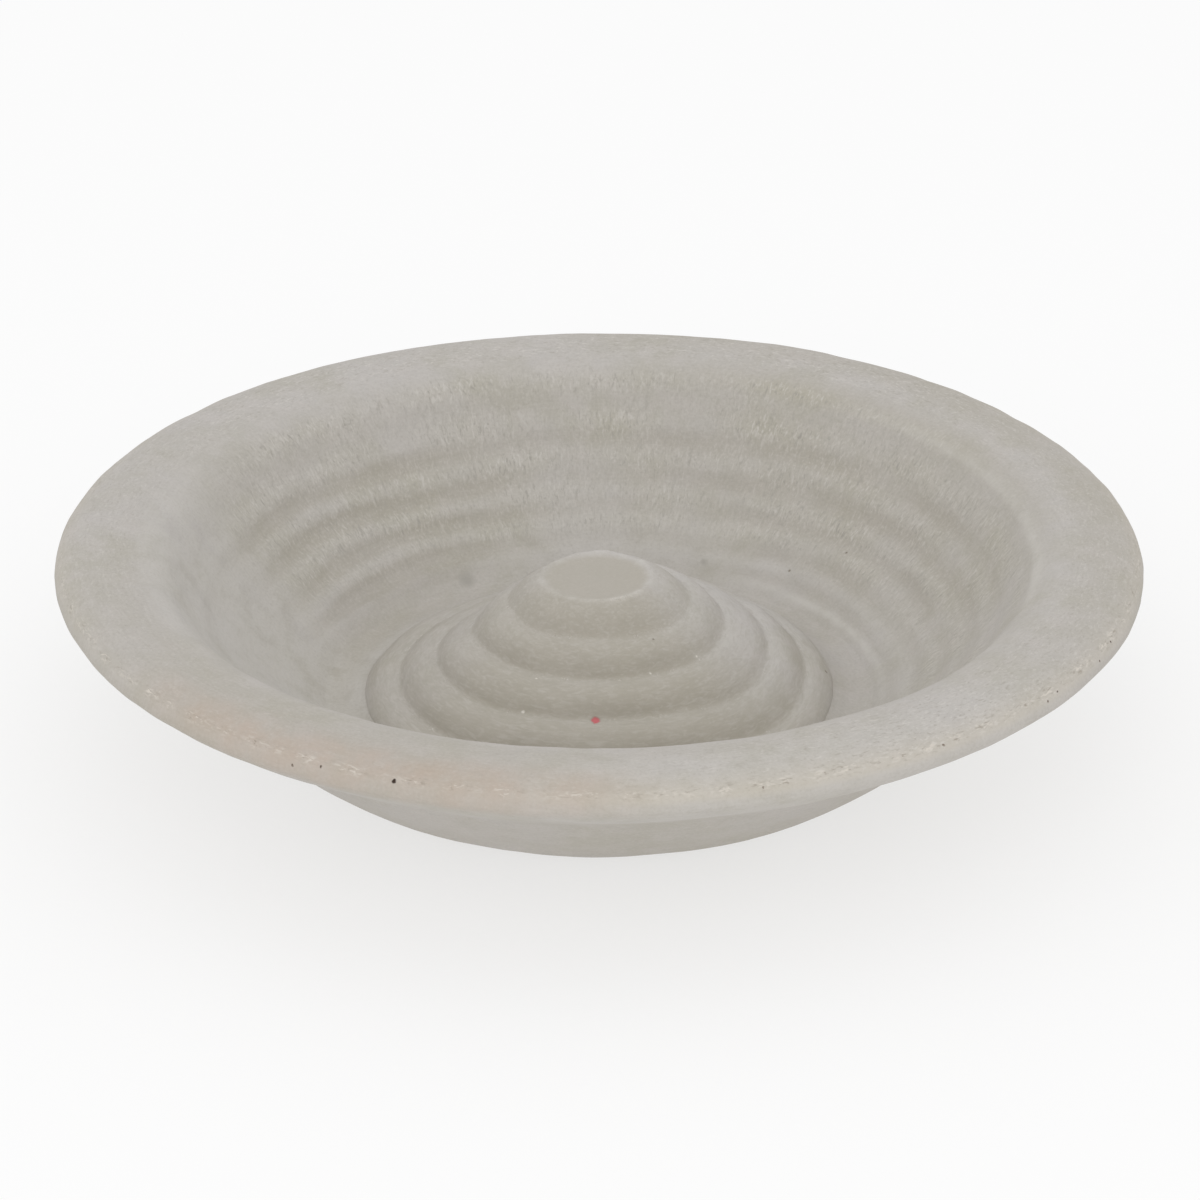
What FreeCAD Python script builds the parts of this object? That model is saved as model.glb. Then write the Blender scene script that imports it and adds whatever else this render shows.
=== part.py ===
import FreeCAD, Part
import math
import os

from FreeCAD import Vector

# A wide clay dish for birds, turned about +Z and standing on z = 0.
# Five clay members are joined edge to edge, and fire to one rigid dish.
# All sizes are millimetres.

# Lip
rim_diameter = 320.0
overall_height = 64.0
lip_width = 24.5
lip_crest_inset = 11.5
lip_inner_drop = 1.5
lip_edge_drop = 7.0

# Flare under the lip: it leaves the lip's edge straight down, leans in, and ends along the wall's
# outside, at a share of the wall. The pulls are how far it keeps to its direction at each end.
# The bed under the rim ends on it, at a share of its way.
flare_edge_pull = 5.0
flare_wall_pull = 6.0
flare_wall_share = 0.58
rim_bed_share = 0.55

# Wall: its inside is hollow by wall_bow from the straight line between its foot and its head.
# The head lies where wall and lip would meet without the round shoulder between them.
wall_head_inset = 32.0
wall_head_drop = 4.0
wall_thickness = 10.5
wall_bow = 4.0
wall_rings = 6
ring_depth = 0.6

# Trough floor
floor_thickness = 7.5
trough_width = 12.0
trough_dip = 0.6

# Stepped mound, hollow underneath
mound_diameter = 140.0
mound_top_diameter = 33.0
mound_height = 38.5
mound_thickness = 10.0
mound_steps = 5
step_depth = 1.3
shoulder_depth = 0.6
top_dip = 0.6

# Foot
foot_diameter = 154.0
foot_width = 13.0
foot_height = 3.0
foot_edge_radius = 1.0

# Joints between the members
tongue_width = 5.0
tongue_height = 2.5
tongue_clearance = 0.3
seat_depth = 4.0

# Places that several members share, as (radius, height) pairs
floor_top = foot_height + floor_thickness
mound_top = floor_top + mound_height
mound_radius = mound_diameter / 2
mound_foot = (mound_radius, floor_top)
mound_edge = (mound_top_diameter / 2, mound_top)
wall_foot = (mound_radius + trough_width, floor_top)
rim_radius = rim_diameter / 2
wall_head = (rim_radius - wall_head_inset, overall_height - wall_head_drop)
lip_inner = (rim_radius - lip_width, overall_height - lip_inner_drop)
lip_crest = (rim_radius - lip_crest_inset, overall_height)
lip_widest = (rim_radius, overall_height - lip_edge_drop)


def point(place):
    radius, height = place
    return Vector(radius, 0, height)


def between(start, end, share):
    """The place at a share of the way from start to end."""
    return (
        start[0] + (end[0] - start[0]) * share,
        start[1] + (end[1] - start[1]) * share,
    )


def beside(start, end, share, offset):
    """The place at a share of the way from start to end, moved to the left of that line."""
    along_r = end[0] - start[0]
    along_z = end[1] - start[1]
    length = math.hypot(along_r, along_z)
    radius, height = between(start, end, share)
    return (radius - along_z / length * offset, height + along_r / length * offset)


def line(start, end):
    return Part.LineSegment(point(start), point(end)).toShape()


def lines(*places):
    return [line(start, end) for start, end in zip(places, places[1:])]


def arc(start, middle, end):
    return Part.Arc(point(start), point(middle), point(end)).toShape()


def bowed(start, end, rise):
    """An arc that rises to the left of the line from start to end."""
    return arc(start, beside(start, end, 0.5, rise), end)


def level_arc(start, level):
    """An arc from start that ends level."""
    across = level[0] - start[0]
    rise = level[1] - start[1]
    radius = (across ** 2 + rise ** 2) / (2 * rise)
    half_turn = math.atan2(rise, abs(across))
    middle = (
        level[0] - math.copysign(abs(radius) * math.sin(half_turn), across),
        level[1] - radius * (1 - math.cos(half_turn)),
    )
    return arc(start, middle, level)


def arc_onto(start, end, heading):
    """An arc from start that reaches end along a heading, given as an angle."""
    normal = (-math.sin(heading), math.cos(heading))
    back = (start[0] - end[0], start[1] - end[1])
    across = back[0] * normal[0] + back[1] * normal[1]
    radius = -(back[0] ** 2 + back[1] ** 2) / (2 * across)
    centre = (end[0] - normal[0] * radius, end[1] - normal[1] * radius)
    return arc(start, beside(start, end, 0.5, radius - math.dist(between(start, end, 0.5), centre)), end)


def quarter_round(start, corner, end):
    """A quarter of an ellipse that leaves start and reaches end along the sides of the corner."""
    curve = Part.BezierCurve()
    curve.setPoles([point(start), point(corner), point(end)])
    curve.setWeight(2, math.sqrt(0.5))
    return curve.toShape()


def turned(edges):
    """The solid that a closed half section makes, turned about the dish's axis."""
    section = Part.Face(Part.Wire(Part.__sortEdges__(edges)))
    return section.revolve(Vector(0, 0, 0), Vector(0, 0, 1), 360)


# The inside of the wall is an arc, and its outside is a parallel one
wall_chord = math.dist(wall_foot, wall_head)
inside_radius = (wall_chord ** 2 / 4 + wall_bow ** 2) / (2 * wall_bow)
outside_radius = inside_radius + wall_thickness
wall_centre = beside(wall_foot, wall_head, 0.5, inside_radius - wall_bow)


def angle_of(place):
    return math.atan2(place[1] - wall_centre[1], place[0] - wall_centre[0])


def wall_place(radius, ring):
    """The place at the lower end of a throwing ring, on an arc about the wall's centre."""
    start = angle_of(wall_foot)
    angle = start + (angle_of(wall_head) - start) * ring / wall_rings
    return (
        wall_centre[0] + radius * math.cos(angle),
        wall_centre[1] + radius * math.sin(angle),
    )


# Beds where the members meet: the floor's at the first ring, the rim's at the last
floor_bed_inside = wall_place(inside_radius, 1)
floor_bed_outside = wall_place(outside_radius, 1)
rim_bed_inside = wall_place(inside_radius, wall_rings - 1)

# Where the flare's curve starts and ends, and where it heads at each end
flare_ring = flare_wall_share * wall_rings
flare_foot = wall_place(outside_radius, flare_ring)
flare_foot_angle = angle_of(flare_foot)
flare_guides = [
    lip_widest,
    (lip_widest[0], lip_widest[1] - flare_edge_pull),
    (
        flare_foot[0] - flare_wall_pull * math.sin(flare_foot_angle),
        flare_foot[1] + flare_wall_pull * math.cos(flare_foot_angle),
    ),
    flare_foot,
]


def flare(first, last):
    """A stretch of the flare, from share to share of its way from the lip's edge to the wall."""
    curve = Part.BezierCurve()
    curve.setPoles([point(guide) for guide in flare_guides])
    curve.segment(first, last)
    return curve


rim_bed_end = flare(0, rim_bed_share).EndPoint
rim_bed_outside = (rim_bed_end.x, rim_bed_end.z)

# The hollow under the mound keeps the mound's thickness below its grooves
hollow_high = beside(mound_edge, mound_foot, 0, -mound_thickness)
hollow_low = beside(mound_edge, mound_foot, 1, -mound_thickness)
hollow_top = mound_top - top_dip - mound_thickness
seat_height = floor_top - seat_depth
hollow_slope = (hollow_low[0] - hollow_high[0]) / (hollow_high[1] - hollow_low[1])
bore_radius = hollow_high[0] + (hollow_high[1] - seat_height) * hollow_slope
hollow_shoulder_height = hollow_high[1] - (mound_edge[0] - hollow_high[0]) / hollow_slope
hollow_shoulder = (mound_edge[0], hollow_shoulder_height)


def ring_arcs(first, last):
    """The throwing rings on the inside of the wall, from one groove to another."""
    grooves = [wall_place(inside_radius, ring) for ring in range(first, last + 1)]
    return [bowed(low, high, ring_depth) for low, high in zip(grooves, grooves[1:])]


def tongued(start, end, height):
    """A joint bed with a V in its middle, raised to the left of the line from start to end."""
    half_share = tongue_width / 2 / math.dist(start, end)
    near = between(start, end, 0.5 - half_share)
    tip = beside(start, end, 0.5, height)
    far = between(start, end, 0.5 + half_share)
    return lines(start, near, tip, far, end)


groove_height = tongue_height + tongue_clearance


def rim_collar():
    lip_edge_corner = (lip_widest[0], lip_crest[1])
    lip_inner_slope = 2 * math.atan2(lip_inner_drop, lip_crest[0] - lip_inner[0])
    edges = [
        arc_onto(rim_bed_inside, lip_inner, lip_inner_slope),
        level_arc(lip_inner, lip_crest),
        quarter_round(lip_crest, lip_edge_corner, lip_widest),
        flare(0, rim_bed_share).toShape(),
    ]
    edges += tongued(rim_bed_inside, rim_bed_outside, groove_height)
    return turned(edges)


def bowl_wall():
    outside_middle = wall_place(outside_radius, (flare_ring + 1) / 2)
    edges = ring_arcs(1, wall_rings - 1)
    edges += tongued(rim_bed_inside, rim_bed_outside, tongue_height)
    edges += [flare(rim_bed_share, 1).toShape(), arc(flare_foot, outside_middle, floor_bed_outside)]
    edges += tongued(floor_bed_inside, floor_bed_outside, groove_height)
    return turned(edges)


def floor_ring():
    # The outer corner is round, and runs smoothly from the wall's outside into the flat underside
    bed_angle = angle_of(floor_bed_outside)
    corner_drop = floor_bed_outside[1] - foot_height
    corner_radius = corner_drop / (1 + math.sin(bed_angle))
    corner_centre = (
        floor_bed_outside[0] - corner_radius * math.cos(bed_angle),
        foot_height + corner_radius,
    )
    middle_angle = (bed_angle - math.pi / 2) / 2
    corner_middle = (
        corner_centre[0] + corner_radius * math.cos(middle_angle),
        corner_centre[1] + corner_radius * math.sin(middle_angle),
    )
    corner_end = (corner_centre[0], foot_height)
    edges = lines(
        corner_end,
        (bore_radius, foot_height),
        (bore_radius, seat_height),
        (mound_radius, seat_height),
        mound_foot,
    )
    edges += [bowed(mound_foot, wall_foot, -trough_dip)]
    edges += ring_arcs(0, 1)
    edges += tongued(floor_bed_inside, floor_bed_outside, tongue_height)
    edges += [arc(floor_bed_outside, corner_middle, corner_end)]
    return turned(edges)


def centre_mound():
    grooves = [between(mound_edge, mound_foot, step / mound_steps) for step in range(mound_steps + 1)]
    top_middle = (0, mound_top - top_dip)
    hollow_middle = (0, hollow_top)
    edges = [level_arc(mound_edge, top_middle)]
    edges += [bowed(grooves[0], grooves[1], shoulder_depth)]
    edges += [bowed(high, low, step_depth) for high, low in zip(grooves[1:], grooves[2:])]
    edges += lines(
        mound_foot,
        (mound_radius, seat_height),
        (bore_radius, seat_height),
        hollow_shoulder,
    )
    edges += [level_arc(hollow_shoulder, hollow_middle), line(hollow_middle, top_middle)]
    return turned(edges)


def foot_ring():
    outer = foot_diameter / 2
    inner = outer - foot_width
    radius = foot_edge_radius
    edges = lines((inner, radius), (inner, foot_height), (outer, foot_height), (outer, radius))
    edges += [
        quarter_round((outer, radius), (outer, 0), (outer - radius, 0)),
        line((outer - radius, 0), (inner + radius, 0)),
        quarter_round((inner + radius, 0), (inner, 0), (inner, radius)),
    ]
    return turned(edges)


members = {
    "rim_collar": rim_collar(),
    "bowl_wall": bowl_wall(),
    "floor_ring": floor_ring(),
    "centre_mound": centre_mound(),
    "foot_ring": foot_ring(),
}

os.makedirs("parts", exist_ok=True)
for name, member in members.items():
    member.exportStep(f"parts/{name}.step")
    print(name, "valid" if member.isValid() else "not valid", round(member.Volume), "mm3")
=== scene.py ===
import math
from types import SimpleNamespace

import bpy
import numpy as np
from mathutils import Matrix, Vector


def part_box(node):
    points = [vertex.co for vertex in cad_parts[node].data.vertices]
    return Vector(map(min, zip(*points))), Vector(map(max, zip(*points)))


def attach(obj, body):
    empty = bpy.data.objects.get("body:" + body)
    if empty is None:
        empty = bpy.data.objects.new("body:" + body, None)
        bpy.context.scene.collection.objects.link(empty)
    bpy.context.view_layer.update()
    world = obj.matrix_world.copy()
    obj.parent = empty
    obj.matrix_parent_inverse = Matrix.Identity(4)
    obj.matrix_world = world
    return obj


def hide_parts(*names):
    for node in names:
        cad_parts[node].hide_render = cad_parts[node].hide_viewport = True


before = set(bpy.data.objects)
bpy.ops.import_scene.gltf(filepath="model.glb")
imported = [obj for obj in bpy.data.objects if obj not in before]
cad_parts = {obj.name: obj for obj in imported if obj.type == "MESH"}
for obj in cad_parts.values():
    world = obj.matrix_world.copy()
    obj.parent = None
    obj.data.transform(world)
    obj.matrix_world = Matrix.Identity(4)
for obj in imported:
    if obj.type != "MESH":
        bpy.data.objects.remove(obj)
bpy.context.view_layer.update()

# A wide clay birdbath dish, thrown on a wheel and washed with grey slip.
# It turns about +Z and stands on z = 0. All lengths are metres.
MM = 0.001

# Sizes that the frame gives
rim_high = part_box("rim_collar")[1]
mound_low, mound_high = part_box("centre_mound")
foot_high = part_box("foot_ring")[1]
rim_radius = rim_high.x
overall_height = rim_high.z
mound_radius = mound_high.x
mound_top = mound_high.z
seat_height = mound_low.z
foot_radius = foot_high.x
foot_height = foot_high.z

# Sizes of the thrown section
lip_width = 24.5 * MM
lip_crest_inset = 11.5 * MM
lip_inner_drop = 1.5 * MM
lip_edge_drop = 7 * MM
flare_edge_pull = 5 * MM
flare_wall_pull = 6 * MM
flare_wall_share = 0.58
rim_bed_share = 0.55
wall_head_inset = 32 * MM
wall_head_drop = 4 * MM
wall_thickness = 10.5 * MM
wall_bow = 4 * MM
wall_rings = 6
floor_thickness = 7.5 * MM
trough_width = 12 * MM
trough_dip = 0.6 * MM
mound_top_radius = 16.5 * MM
mound_thickness = 10 * MM
top_dip = 0.6 * MM
foot_width = 13 * MM
foot_edge_radius = 1 * MM
tongue_width = 5 * MM
tongue_height = 2.5 * MM
tongue_clearance = 0.3 * MM

# How closely a section's points follow each other where it shows, underneath, and inside a joint
shown_spacing = 0.65 * MM
under_spacing = 1.5 * MM
joint_spacing = 20 * MM
turn_steps = 480
rim_turn_steps = 720
merge_distance = 0.001 * MM

# How far a smooth curve keeps to its direction at each end, and how much longer than its chord it is
ease_share = 0.36
bend_allowance = 1.1
quarter_turn = math.pi / 2


def place(radius, height):
    return Vector((radius, 0, height))


def straight(start, end, spacing):
    count = max(1, round((end - start).length / spacing))
    return [start.lerp(end, step / count) for step in range(count + 1)]


def curved(centre, reach, rise, first, last, spacing):
    """Places on an ellipse about a centre, from one angle to another. With equal radii it is an arc."""
    count = max(2, round(abs(last - first) * (reach + rise) / 2 / spacing))
    angles = [first + (last - first) * step / count for step in range(count + 1)]
    return [centre + place(reach * math.cos(angle), rise * math.sin(angle)) for angle in angles]


def bowed(start, end, rise, spacing):
    """An arc from start to end that rises to the left of the line between them."""
    chord = end - start
    left = place(-chord.z, chord.x).normalized()
    radius = (chord.length_squared / 4 + rise ** 2) / (2 * abs(rise))
    centre = start + chord / 2 + left * (rise - math.copysign(radius, rise))
    first = math.atan2(start.z - centre.z, start.x - centre.x)
    half_turn = math.asin(chord.length / 2 / radius)
    return curved(centre, radius, radius, first, first - math.copysign(2 * half_turn, rise), spacing)


def guided(guides, first, last, spacing):
    """Places on the curve that four guides draw, from one share of its way to another."""
    start, near_start, near_end, end = guides
    count = max(1, round((end - start).length * bend_allowance * (last - first) / spacing))
    shares = [first + (last - first) * step / count for step in range(count + 1)]
    return [
        start * (1 - share) ** 3
        + near_start * 3 * share * (1 - share) ** 2
        + near_end * 3 * share ** 2 * (1 - share)
        + end * share ** 3
        for share in shares
    ]


def eased(start, start_angle, end, end_angle, spacing):
    """A smooth curve that leaves start and reaches end along the given angles."""
    pull = (end - start).length * ease_share
    near_start = start + place(math.cos(start_angle), math.sin(start_angle)) * pull
    near_end = end - place(math.cos(end_angle), math.sin(end_angle)) * pull
    return guided((start, near_start, near_end, end), 0, 1, spacing)


def tongued(start, end, height):
    """A joint bed with a V in its middle, raised to the left of the line from start to end."""
    along = (end - start).normalized()
    middle = (start + end) / 2
    tip = middle + place(-along.z, along.x) * height
    half = along * tongue_width / 2
    return [start, middle - half, tip, middle + half, end]


def joined(*stretches):
    """One line of places from stretches that each start where the last one ends."""
    line = list(stretches[0])
    for stretch in stretches[1:]:
        line += stretch[1:]
    return line


# Places that several pieces share
floor_top = foot_height + floor_thickness
mound_foot = place(mound_radius, floor_top)
mound_edge = place(mound_top_radius, mound_top)
wall_foot = place(mound_radius + trough_width, floor_top)
wall_head = place(rim_radius - wall_head_inset, overall_height - wall_head_drop)
lip_inner = place(rim_radius - lip_width, overall_height - lip_inner_drop)
lip_crest = place(rim_radius - lip_crest_inset, overall_height)
lip_widest = place(rim_radius, overall_height - lip_edge_drop)

# The wall's inside and outside are arcs about one centre
wall_chord = wall_head - wall_foot
inside_radius = (wall_chord.length_squared / 4 + wall_bow ** 2) / (2 * wall_bow)
outside_radius = inside_radius + wall_thickness
wall_left = place(-wall_chord.z, wall_chord.x).normalized()
wall_centre = wall_foot + wall_chord / 2 + wall_left * (inside_radius - wall_bow)


def wall_angle(spot):
    return math.atan2(spot.z - wall_centre.z, spot.x - wall_centre.x)


wall_low_angle = wall_angle(wall_foot)
wall_high_angle = wall_angle(wall_head)
wall_span = wall_high_angle - wall_low_angle
floor_bed_angle = wall_low_angle + wall_span / wall_rings
rim_bed_angle = wall_high_angle - wall_span / wall_rings
flare_foot_angle = wall_low_angle + wall_span * flare_wall_share


def wall_arc(radius, first, last, spacing):
    return curved(wall_centre, radius, radius, first, last, spacing)


floor_bed_inside = wall_arc(inside_radius, floor_bed_angle, floor_bed_angle, joint_spacing)[0]
floor_bed_outside = wall_arc(outside_radius, floor_bed_angle, floor_bed_angle, joint_spacing)[0]
rim_bed_inside = wall_arc(inside_radius, rim_bed_angle, rim_bed_angle, joint_spacing)[0]

# The flare under the lip runs from its edge to the wall's outside, and the rim's bed ends on it
flare_foot = wall_arc(outside_radius, flare_foot_angle, flare_foot_angle, joint_spacing)[0]
flare_heading = place(-math.sin(flare_foot_angle), math.cos(flare_foot_angle))
flare_guides = (
    lip_widest,
    lip_widest - place(0, flare_edge_pull),
    flare_foot + flare_heading * flare_wall_pull,
    flare_foot,
)
rim_bed_outside = guided(flare_guides, rim_bed_share, rim_bed_share, joint_spacing)[0]

# The hollow under the mound runs parallel to the mound's slope
mound_slope = mound_foot - mound_edge
mound_normal = place(-mound_slope.z, mound_slope.x).normalized()
hollow_high = mound_edge - mound_normal * mound_thickness
hollow_run = mound_slope.x / -mound_slope.z
bore_radius = hollow_high.x + (hollow_high.z - seat_height) * hollow_run
hollow_shoulder_height = hollow_high.z - (mound_top_radius - hollow_high.x) / hollow_run
hollow_shoulder = place(mound_top_radius, hollow_shoulder_height)
hollow_middle = place(0, mound_top - top_dip - mound_thickness)
tongue_groove = tongue_height + tongue_clearance


def deselect_all():
    bpy.ops.object.select_all(action="DESELECT")


def turned(name, section, closed, steps):
    """Draws a half section point by point and turns it about the dish's axis."""
    deselect_all()
    bpy.ops.mesh.primitive_plane_add(size=MM)
    piece = bpy.context.object
    piece.name = name
    piece.data.name = name
    bpy.ops.object.mode_set(mode="EDIT")
    bpy.ops.mesh.merge(type="CENTER")
    bpy.ops.transform.translate(value=section[0])
    for start, end in zip(section, section[1:]):
        bpy.ops.mesh.extrude_vertices_move(TRANSFORM_OT_translate={"value": end - start})
    if closed:
        bpy.ops.object.mode_set(mode="OBJECT")
        piece.data.vertices[0].select = True
        bpy.ops.object.mode_set(mode="EDIT")
        bpy.ops.mesh.edge_face_add()
    bpy.ops.object.mode_set(mode="OBJECT")
    wheel = piece.modifiers.new("wheel", "SCREW")
    wheel.axis = "Z"
    wheel.angle = 2 * math.pi
    wheel.steps = steps
    wheel.render_steps = steps
    wheel.use_merge_vertices = True
    wheel.merge_threshold = merge_distance
    bpy.ops.object.modifier_apply(modifier=wheel.name)
    bpy.ops.object.mode_set(mode="EDIT")
    bpy.ops.mesh.select_all(action="SELECT")
    bpy.ops.mesh.remove_doubles(threshold=merge_distance)
    bpy.ops.mesh.normals_make_consistent(inside=False)
    bpy.ops.object.mode_set(mode="OBJECT")
    return piece


def rolled_rim():
    """The round shoulder above the wall, the broad convex lip, its round edge and the flare below."""
    lip_radius = ((lip_crest.x - lip_inner.x) ** 2 + lip_inner_drop ** 2) / (2 * lip_inner_drop)
    lip_centre = place(lip_crest.x, lip_crest.z - lip_radius)
    lip_start = math.atan2(lip_inner.z - lip_centre.z, lip_inner.x - lip_centre.x)
    wall_heading = rim_bed_angle + quarter_turn
    lip_heading = lip_start - quarter_turn
    edge_centre = place(lip_crest.x, lip_widest.z)
    section = joined(
        eased(rim_bed_inside, wall_heading, lip_inner, lip_heading, shown_spacing),
        curved(lip_centre, lip_radius, lip_radius, lip_start, quarter_turn, shown_spacing),
        curved(edge_centre, lip_crest_inset, lip_edge_drop, quarter_turn, 0, shown_spacing),
        guided(flare_guides, 0, rim_bed_share, shown_spacing),
        tongued(rim_bed_inside, rim_bed_outside, tongue_groove)[::-1][:-1],
    )
    return turned("rolled_rim", section, True, rim_turn_steps)


def ringed_wall():
    """The wall with the flare's lower half outside it, and a joint bed at each end."""
    section = joined(
        wall_arc(inside_radius, floor_bed_angle, rim_bed_angle, shown_spacing),
        tongued(rim_bed_inside, rim_bed_outside, tongue_height),
        guided(flare_guides, rim_bed_share, 1, shown_spacing),
        wall_arc(outside_radius, flare_foot_angle, floor_bed_angle, shown_spacing),
        tongued(floor_bed_inside, floor_bed_outside, tongue_groove)[::-1][:-1],
    )
    return turned("ringed_wall", section, True, turn_steps)


def trough_floor():
    """The trough, the foot of the wall, and the round corner that the dish has underneath."""
    corner_drop = floor_bed_outside.z - foot_height
    corner_radius = corner_drop / (1 + math.sin(floor_bed_angle))
    corner_x = floor_bed_outside.x - corner_radius * math.cos(floor_bed_angle)
    corner_centre = place(corner_x, foot_height + corner_radius)
    straight_down = -quarter_turn
    section = joined(
        bowed(mound_foot, wall_foot, -trough_dip, shown_spacing),
        wall_arc(inside_radius, wall_low_angle, floor_bed_angle, shown_spacing),
        tongued(floor_bed_inside, floor_bed_outside, tongue_height),
        curved(corner_centre, corner_radius, corner_radius, floor_bed_angle, straight_down, shown_spacing),
        straight(place(corner_x, foot_height), place(bore_radius, foot_height), under_spacing),
        [place(bore_radius, foot_height), place(bore_radius, seat_height)],
        [place(bore_radius, seat_height), place(mound_radius, seat_height)],
    )
    return turned("trough_floor", section, True, turn_steps)


def stepped_mound():
    """The mound as an even cone, hollow underneath. Its steps come with the potter's marks."""
    top_middle = place(0, mound_top - top_dip)
    section = joined(
        straight(top_middle, mound_edge, 2 * shown_spacing),
        straight(mound_edge, mound_foot, shown_spacing),
        [mound_foot, place(mound_radius, seat_height), place(bore_radius, seat_height)],
        straight(place(bore_radius, seat_height), hollow_shoulder, under_spacing),
        straight(hollow_shoulder, hollow_middle, under_spacing),
    )
    return turned("stepped_mound", section, False, turn_steps)


def turned_foot():
    """The low ring that the dish stands on, with round edges below."""
    outer = foot_radius
    inner = foot_radius - foot_width
    round_edge = foot_edge_radius
    fine = round_edge / 4
    outer_centre = place(outer - round_edge, round_edge)
    inner_centre = place(inner + round_edge, round_edge)
    section = joined(
        straight(place(inner, round_edge), place(inner, foot_height), shown_spacing),
        straight(place(inner, foot_height), place(outer, foot_height), under_spacing),
        straight(place(outer, foot_height), place(outer, round_edge), shown_spacing),
        curved(outer_centre, round_edge, round_edge, 0, -quarter_turn, fine),
        straight(place(outer - round_edge, 0), place(inner + round_edge, 0), under_spacing),
        curved(inner_centre, round_edge, round_edge, -quarter_turn, -math.pi, fine)[:-1],
    )
    return turned("turned_foot", section, True, turn_steps)


def ramp(value, start, full):
    """Climbs smoothly from 0 at the start to 1 where it is full."""
    share = np.clip((value - start) / (full - start), 0, 1)
    return share * share * (3 - 2 * share)


def bump(value, middle, width):
    """1 in the middle, falling smoothly to 0 on both sides."""
    return np.exp(-(((value - middle) / width) ** 2))


def facing(angle, heading, reach):
    """1 towards a heading, falling smoothly to 0 at a reach from it, both in degrees."""
    return ramp(np.cos(angle - np.radians(heading)), np.cos(np.radians(reach)), 1)


def uneven(angle, height, seed, lobes, climb):
    """Smooth chance unevenness about 0 that closes on itself round the dish. Height has no unit."""
    chance = np.random.default_rng(seed)
    waves = 12
    total = np.zeros_like(angle)
    for wave in range(waves):
        turns = chance.integers(lobes[0], lobes[1] + 1)
        slope = chance.uniform(-climb, climb)
        total += np.cos(turns * angle + slope * height + chance.uniform(0, 2 * math.pi))
    return total / math.sqrt(waves)


def scallop(phase, groove_share):
    """The round back of a ring, from 0 in the groove each side of it to 1 on top."""
    from_groove = 0.5 - np.abs(phase % 1 - 0.5)
    ridge = 1 - (0.5 - from_groove) ** 2 * 4 / (1 - groove_share)
    groove = from_groove ** 2 * 4 / groove_share
    return np.where(from_groove < groove_share / 2, groove, ridge)


# Marks of the potter's hands, place by place. Many have values of these kinds:
# a band is its middle and its width, a range is where it starts and where it is full,
# and a side is its heading round the dish and its reach from there, both in degrees.

# The front of the dish, and the share of the clay's thickness that a mark reaches into
front_range = (0.15, 0.95)
skin_share = 0.8


def spots_of(piece):
    """The points of a piece: where each lies on the dish, and how far it moves out and up."""
    points = np.empty(len(piece.data.vertices) * 3)
    piece.data.vertices.foreach_get("co", points)
    points = points.reshape(-1, 3)
    radius = np.hypot(points[:, 0], points[:, 1])
    angle = np.arctan2(points[:, 1], points[:, 0])
    return SimpleNamespace(
        points=points,
        radius=radius,
        height=points[:, 2].copy(),
        angle=angle,
        to_front=ramp(-np.sin(angle), *front_range),
        out=np.zeros_like(radius),
        up=np.zeros_like(radius),
    )


def push(spots, rise, out, up):
    """Moves the spots by a rise, in the direction that out and up give."""
    spots.out += rise * out
    spots.up += rise * up


# Throwing rings inside the wall. A share of the wall is 0 at its foot and 1 at its head.
ring_pitch = 8 * MM
ring_depth = 0.6 * MM
ring_groove_radius = 86.3 * MM
ring_groove_share = 0.5
ring_drift = 0.07
ring_start_range = (0.03, 0.15)
ring_end_range = (0.93, 1.08)
ring_fade_range = (0.7, 0.85)
ring_fade = 0.75
ring_strength = 0.38
ring_chance = 0.2
ring_limits = (0.08, 1.6)
left_ring_side = (135, 42)
left_ring_strength = 0.9
left_fade_range = (0.6, 0.8)
left_fade = 0.6
right_ring_heading = 42
right_ring_reach = 30
right_ring_spread = 20
right_spread_range = (0.35, 0.55)
right_ring_strength = 0.5
right_ring_shift = 1.5 * MM
ring_shift_range = (0.5, 0.3)
bare_wall_side = (186, 36)
bare_fade = 0.85
ledge_band = (117 * MM, 3 * MM)
ledge_strength = 0.35
foot_ridge_height = 0.2 * MM
foot_ridge_band = (85 * MM, 1.2 * MM)
foot_ridge_side = (26, 40)


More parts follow.
